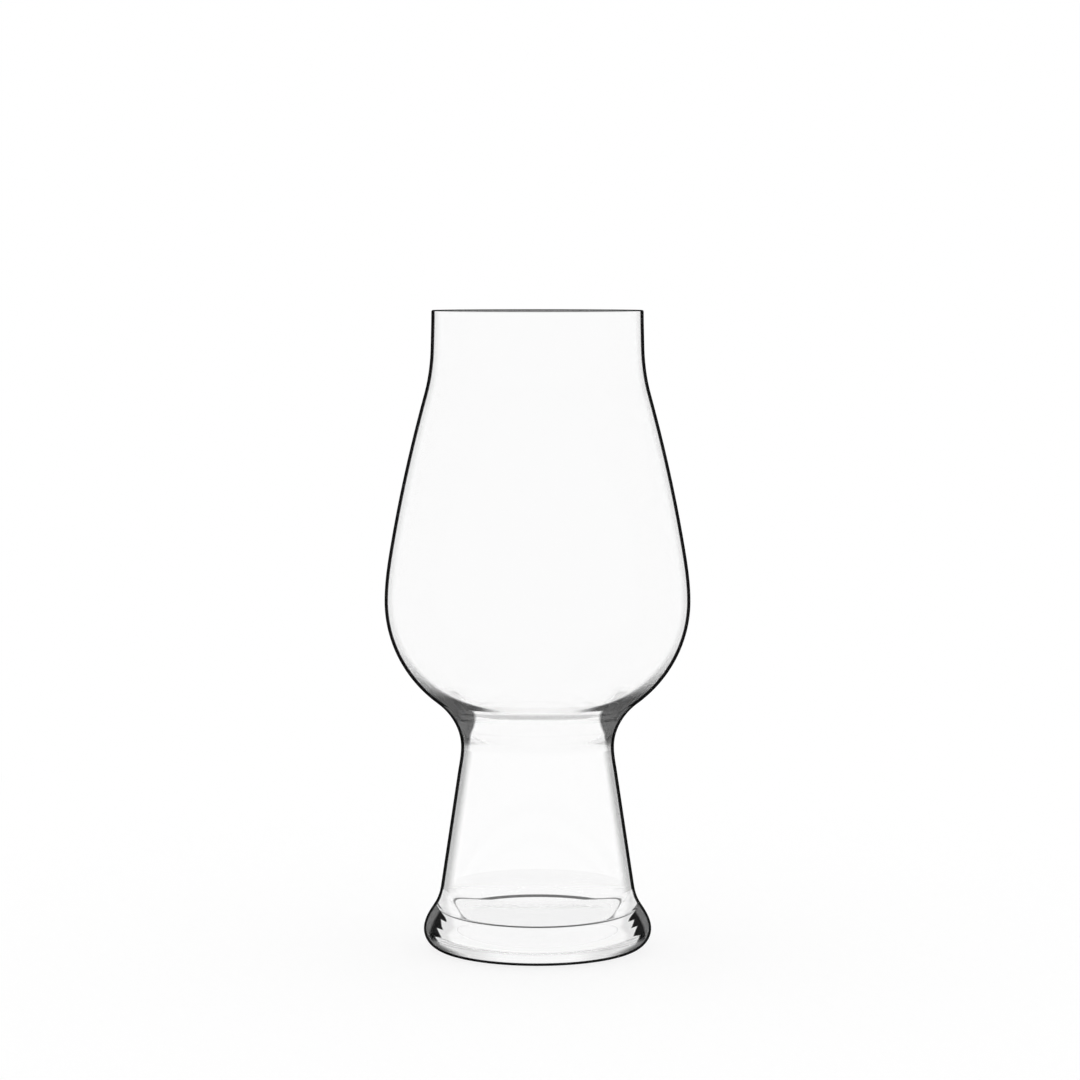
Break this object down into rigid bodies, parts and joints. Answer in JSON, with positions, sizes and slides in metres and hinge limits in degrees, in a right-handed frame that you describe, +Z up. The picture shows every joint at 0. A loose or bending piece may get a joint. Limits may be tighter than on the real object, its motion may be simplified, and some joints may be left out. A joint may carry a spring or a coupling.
{
  "type": "beer glass",
  "caption": "Tall clear ale glass: tulip bowl with a straight lip, pinched waist, hollow flared stem and a heavy round foot; one cavity from mouth to floor.",
  "frame": {"origin": "centre of the sole, on the table the glass stands on", "axes": "+Z up along the axis the glass is turned about, from the foot to the rim; the glass looks the same all round, so X and Y are free and -Y is taken as the front"},
  "size_m": [0.0874, 0.0874, 0.1831],
  "materials": {
    "bowl_glass": "blown, fire-polished, clear",
    "stem_glass": "drawn hollow, fire-polished, clear",
    "foot_glass": "pressed, fire-polished, clear"
  },
  "bodies": {
    "root": {"bowl": "bowl_glass", "stem": "stem_glass", "foot": "foot_glass"}
  },
  "joints": []
}
